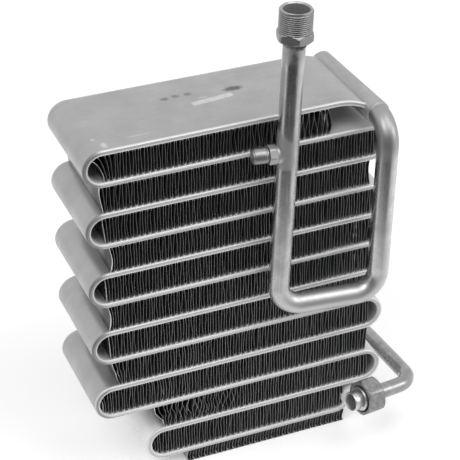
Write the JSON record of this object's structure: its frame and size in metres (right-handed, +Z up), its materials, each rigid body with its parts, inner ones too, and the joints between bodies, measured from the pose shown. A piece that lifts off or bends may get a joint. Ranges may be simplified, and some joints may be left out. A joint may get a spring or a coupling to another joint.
{
  "type": "evaporator core",
  "caption": "Serpentine evaporator core: a flat tube folded back and forth with corrugated fins between its passes, round headers and two bent pipes with screw fittings.",
  "frame": {"origin": "middle of the part's bounding box in X and Y, at the underside of the lowest fin strip", "axes": "+X along the straight passes towards the headers, +Y into the depth of the core away from the pipes, +Z up along the stack of passes"},
  "size_m": [0.2588, 0.1346, 0.3834],
  "materials": {
    "tube": "satin, as extruded",
    "fins": "satin rolled foil",
    "pipe": "drawn, semi-bright",
    "fitting": "turned",
    "nut": "plated, dull",
    "cap": "plated, bright",
    "valve": "turned"
  },
  "bodies": {
    "core": {"fin_strip_01": "fins", "fin_strip_02": "fins", "fin_strip_03": "fins", "fin_strip_04": "fins", "fin_strip_05": "fins", "fin_strip_06": "fins", "fin_strip_07": "fins", "fin_strip_08": "fins", "fin_strip_09": "fins", "fin_strip_10": "fins", "fin_strip_11": "fins", "fin_strip_12": "fins", "inlet_header": "tube", "inlet_header_plug": "tube", "inlet_header_rear_plug": "tube", "inlet_pipe": "pipe", "inlet_sleeve": "fitting", "outlet_fitting": "fitting", "outlet_header": "tube", "outlet_header_plug": "tube", "outlet_pipe": "pipe", "serpentine_tube": "tube", "service_cap": "cap", "service_port": "fitting", "service_valve_core": "valve"},
    "nut": {"inlet_nut": "nut"}
  },
  "joints": [
    {"name": "nut_turn", "type": "hinge", "parent": "core", "child": "nut", "pos_m": [0.08001, -0.05209, 0.04875], "axis": [-0.9762, -0.1986, 0.0872], "continuous": true}
  ]
}
